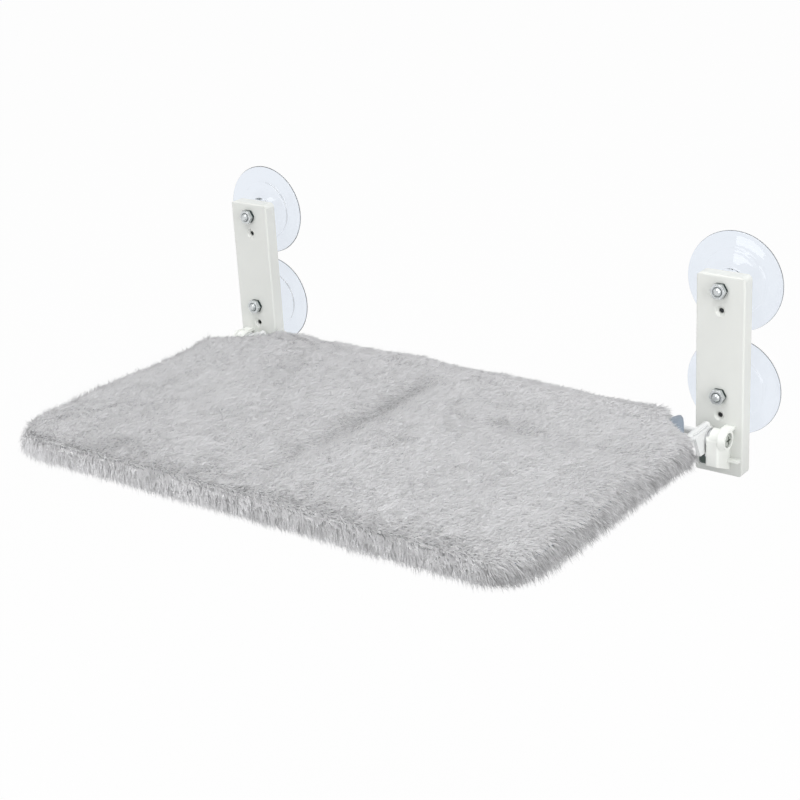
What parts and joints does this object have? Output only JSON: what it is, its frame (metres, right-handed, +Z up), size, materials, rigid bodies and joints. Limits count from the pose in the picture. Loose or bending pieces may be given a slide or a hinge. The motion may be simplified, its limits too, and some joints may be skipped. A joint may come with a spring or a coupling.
{
  "type": "window mounted cat perch",
  "caption": "Folding plush cat perch on a steel rod frame, hinged to two upright brackets that suction cups hold to a window.",
  "frame": {"origin": "centre of the four suction cups, on the plane of the window glass", "axes": "+X right along the window seen from the room, +Y into the window glass, +Z up"},
  "size_m": [0.548, 0.3265, 0.1903],
  "materials": {
    "white_moulding": "satin",
    "clear_cup": "gloss",
    "zinc_steel": "satin",
    "dark_screw": "satin",
    "bush_plastic": "matte",
    "black_rubber": "matte",
    "white_rod": "satin",
    "grey_plush": "matte",
    "blue_grey_cloth": "matte",
    "foam": "matte",
    "dark_binding": "matte",
    "loop_tape": "matte",
    "hook_tape": "matte"
  },
  "bodies": {
    "window_mount": {"left_bracket": "white_moulding", "right_bracket": "white_moulding", "left_upper_suction_cup": "clear_cup", "left_lower_suction_cup": "clear_cup", "right_upper_suction_cup": "clear_cup", "right_lower_suction_cup": "clear_cup", "left_cup_studs": "zinc_steel", "right_cup_studs": "zinc_steel", "left_hex_nuts": "zinc_steel", "right_hex_nuts": "zinc_steel", "left_hinge_bush": "bush_plastic", "right_hinge_bush": "bush_plastic", "left_stop_buffer": "black_rubber", "right_stop_buffer": "black_rubber"},
    "perch": {"frame_loop": "white_rod", "rear_crossbar": "white_rod", "left_hinge_link": "white_rod", "right_hinge_link": "white_rod", "left_hinge_pin": "zinc_steel", "right_hinge_pin": "zinc_steel", "left_pin_washer": "zinc_steel", "right_pin_washer": "zinc_steel", "left_pin_screw": "dark_screw", "right_pin_screw": "dark_screw", "plush_cover": "grey_plush", "inner_lining": "blue_grey_cloth", "foam_pad": "foam", "under_panel": "blue_grey_cloth", "seam_binding": "dark_binding", "closing_flap": "blue_grey_cloth", "loop_strip": "loop_tape", "hook_strip": "hook_tape"}
  },
  "joints": [
    {"name": "fold", "type": "hinge", "parent": "window_mount", "child": "perch", "pos_m": [0, -0.038, -0.0722], "axis": [-1, 0, 0], "range_deg": [0, 72]}
  ]
}
